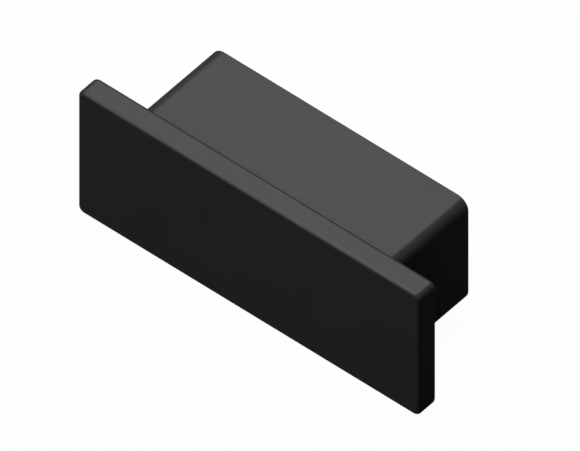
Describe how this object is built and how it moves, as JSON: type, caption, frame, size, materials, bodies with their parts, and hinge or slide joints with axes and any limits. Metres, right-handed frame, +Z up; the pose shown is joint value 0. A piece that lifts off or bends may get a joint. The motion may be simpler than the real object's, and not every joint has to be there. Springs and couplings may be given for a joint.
{
  "type": "profile end cap",
  "caption": "Black plastic end cap for a rectangular hollow profile: a flat face plate with rounded edges and a hollow plug behind it that presses into the profile",
  "frame": {"origin": "on the plug's centre line, in the plane of the face plate's rear face, where the profile's end stops", "axes": "+X along the cap's width, +Y the way the plug points into the profile, +Z up"},
  "size_m": [0.0474, 0.0153, 0.0184],
  "materials": {
    "black_plastic": "fine satin moulded surface"
  },
  "bodies": {
    "root": {"end_cap": "black_plastic"}
  },
  "joints": []
}
